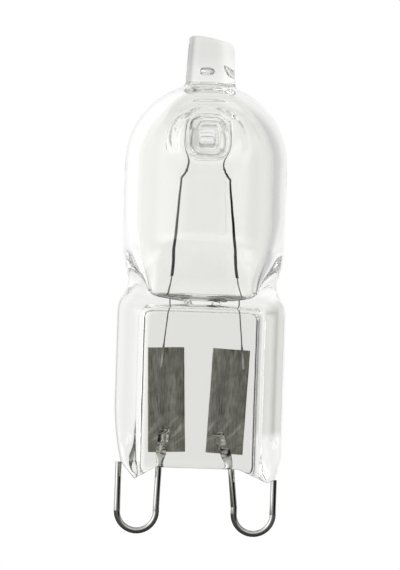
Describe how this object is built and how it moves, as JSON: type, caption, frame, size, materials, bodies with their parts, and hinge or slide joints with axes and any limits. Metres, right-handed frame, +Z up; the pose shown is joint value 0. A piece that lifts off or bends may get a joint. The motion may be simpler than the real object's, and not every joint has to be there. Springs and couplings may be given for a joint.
{
  "type": "halogen capsule bulb",
  "caption": "Clear quartz capsule lamp: domed tube with a glass bridge and a sealed exhaust tip, a coiled filament over the bridge, and a pressed, flanged foot with looped wire contact pins.",
  "frame": {"origin": "middle of the foot's flat lower edge, between the contact pins", "axes": "+Z up along the lamp's axis from the pins to the exhaust tip, +X from the left pin to the right pin, -Y the front"},
  "size_m": [0.013, 0.0124, 0.0384],
  "materials": {
    "fused_quartz": "clear fused quartz, fire polished on the tube and faintly rippled where pressed",
    "tungsten_coil": "dull dark grey drawn tungsten",
    "molybdenum_wire": "grey drawn molybdenum",
    "molybdenum_foil": "rolled foil, olive grey through the quartz, with lengthwise streaks",
    "contact_wire": "bright drawn wire"
  },
  "bodies": {
    "root": {"quartz_envelope": "fused_quartz", "filament": "tungsten_coil", "left_inner_lead": "molybdenum_wire", "right_inner_lead": "molybdenum_wire", "left_seal_foil": "molybdenum_foil", "right_seal_foil": "molybdenum_foil", "left_contact_pin": "contact_wire", "right_contact_pin": "contact_wire"}
  },
  "joints": []
}
